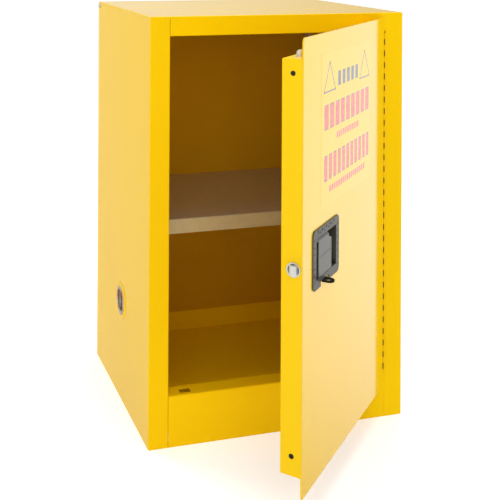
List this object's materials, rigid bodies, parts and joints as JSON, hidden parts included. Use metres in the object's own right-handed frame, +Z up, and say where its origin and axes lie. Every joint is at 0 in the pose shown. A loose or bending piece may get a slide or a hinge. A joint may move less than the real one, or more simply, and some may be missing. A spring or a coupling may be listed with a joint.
{
  "type": "flammable storage cabinet",
  "caption": "Small double-walled steel safety cabinet with one hinged door, a recessed pull-paddle latch with three locking points, a shelf, a leak-proof sill and side vents.",
  "frame": {"origin": "on the floor, under the middle of the cabinet", "axes": "+Z up, -Y out of the front of the cabinet, +X to the right of a person facing the front"},
  "size_m": [0.5904, 0.7963, 0.889],
  "materials": {
    "safety_yellow": "glossy safety yellow powder coat",
    "zinc_plate": "bright zinc plate",
    "galvanised": "galvanised sheet",
    "charcoal_paint": "satin charcoal paint on cast metal",
    "black_plastic": "moulded",
    "label_film": "clear film with plain bars",
    "spring_steel": "drawn wire"
  },
  "bodies": {
    "cabinet": {"left_side_panel": "safety_yellow", "right_side_panel": "safety_yellow", "outer_back_panel": "safety_yellow", "top_panel": "safety_yellow", "header_rail": "safety_yellow", "door_sill": "safety_yellow", "base_panel": "safety_yellow", "inner_left_wall": "safety_yellow", "inner_right_wall": "safety_yellow", "inner_back_wall": "safety_yellow", "inner_ceiling": "safety_yellow", "sump_pan": "safety_yellow", "wall_stiffeners": "galvanised", "shelf_standards": "galvanised", "shelf_clips": "galvanised", "left_vent_boss": "safety_yellow", "left_vent_socket": "zinc_plate", "left_vent_screen": "zinc_plate", "right_vent_boss": "safety_yellow", "right_vent_socket": "zinc_plate", "right_vent_screen": "zinc_plate", "ground_screw": "zinc_plate", "frame_hinge_leaf": "safety_yellow", "hinge_pin": "zinc_plate", "strike_plate": "zinc_plate", "foot_nuts": "zinc_plate"},
    "shelf": {"shelf": "galvanised"},
    "left_vent_bung": {"left_vent_bung": "zinc_plate"},
    "right_vent_bung": {"right_vent_bung": "zinc_plate"},
    "foot_front_left": {"foot_front_left": "black_plastic"},
    "foot_front_right": {"foot_front_right": "black_plastic"},
    "foot_back_left": {"foot_back_left": "black_plastic"},
    "foot_back_right": {"foot_back_right": "black_plastic"},
    "door": {"door_skin": "safety_yellow", "door_pan": "safety_yellow", "door_hinge_leaf": "safety_yellow", "door_stiffener": "galvanised", "label_panel": "label_film", "paddle_housing": "charcoal_paint", "housing_nuts": "zinc_plate", "padlock_tab": "black_plastic", "paddle_pin": "zinc_plate", "paddle_spring": "spring_steel", "latch_mount_plate": "zinc_plate", "carriage_keeper": "zinc_plate", "pivot_clips": "spring_steel", "bolt_bushing": "zinc_plate", "bolt_spring": "spring_steel", "rod_guides": "zinc_plate", "rod_bushings": "zinc_plate", "hole_plugs": "black_plastic"},
    "paddle": {"paddle": "charcoal_paint"},
    "latch_bolt": {"latch_bolt": "zinc_plate", "bolt_carriage": "zinc_plate"},
    "upper_bell_crank": {"upper_bell_crank": "zinc_plate"},
    "lower_bell_crank": {"lower_bell_crank": "zinc_plate"},
    "top_rod": {"top_rod": "zinc_plate"},
    "bottom_rod": {"bottom_rod": "zinc_plate"}
  },
  "joints": [
    {"name": "door_swing", "type": "hinge", "parent": "cabinet", "child": "door", "pos_m": [0.246, -0.2322, 0.475], "axis": [0, 0, 1], "range_deg": [-43, 127]},
    {"name": "paddle_pull", "type": "hinge", "parent": "door", "child": "paddle", "pos_m": [-0.06033, -0.51074, 0.4705], "axis": [0, 0, -1], "range_deg": [0, 35]},
    {"name": "bolt_retract", "type": "slide", "parent": "door", "child": "latch_bolt", "axis": [0.7314, 0.682, 0], "range_m": [0, 0.0126]},
    {"name": "upper_crank_turn", "type": "hinge", "parent": "door", "child": "upper_bell_crank", "pos_m": [-0.08312, -0.50096, 0.5345], "axis": [0.682, -0.7314, 0], "range_deg": [0, 25]},
    {"name": "lower_crank_turn", "type": "hinge", "parent": "door", "child": "lower_bell_crank", "pos_m": [-0.08312, -0.50096, 0.4065], "axis": [-0.682, 0.7314, 0], "range_deg": [0, 25]},
    {"name": "top_rod_retract", "type": "slide", "parent": "door", "child": "top_rod", "axis": [0, 0, -1], "range_m": [0, 0.013]},
    {"name": "bottom_rod_retract", "type": "slide", "parent": "door", "child": "bottom_rod", "axis": [0, 0, 1], "range_m": [0, 0.013]},
    {"name": "shelf_lift", "type": "slide", "parent": "cabinet", "child": "shelf", "axis": [0, 0, 1], "range_m": [0, 0.15]},
    {"name": "left_bung_unscrew", "type": "slide", "parent": "cabinet", "child": "left_vent_bung", "axis": [-1, 0, 0], "range_m": [0, 0.06]},
    {"name": "right_bung_unscrew", "type": "slide", "parent": "cabinet", "child": "right_vent_bung", "axis": [1, 0, 0], "range_m": [0, 0.06]},
    {"name": "foot_front_left_screw", "type": "slide", "parent": "cabinet", "child": "foot_front_left", "axis": [0, 0, -1], "range_m": [0, 0.018]},
    {"name": "foot_front_right_screw", "type": "slide", "parent": "cabinet", "child": "foot_front_right", "axis": [0, 0, -1], "range_m": [0, 0.018]},
    {"name": "foot_back_left_screw", "type": "slide", "parent": "cabinet", "child": "foot_back_left", "axis": [0, 0, -1], "range_m": [0, 0.018]},
    {"name": "foot_back_right_screw", "type": "slide", "parent": "cabinet", "child": "foot_back_right", "axis": [0, 0, -1], "range_m": [0, 0.018]}
  ],
  "couplings": [
    {"joint": "bolt_retract", "follows": "paddle_pull", "m_per_rad": 0.020626},
    {"joint": "upper_crank_turn", "follows": "paddle_pull", "ratio": 0.71428},
    {"joint": "lower_crank_turn", "follows": "paddle_pull", "ratio": 0.71428},
    {"joint": "top_rod_retract", "follows": "paddle_pull", "m_per_rad": 0.021281},
    {"joint": "bottom_rod_retract", "follows": "paddle_pull", "m_per_rad": 0.021281}
  ]
}
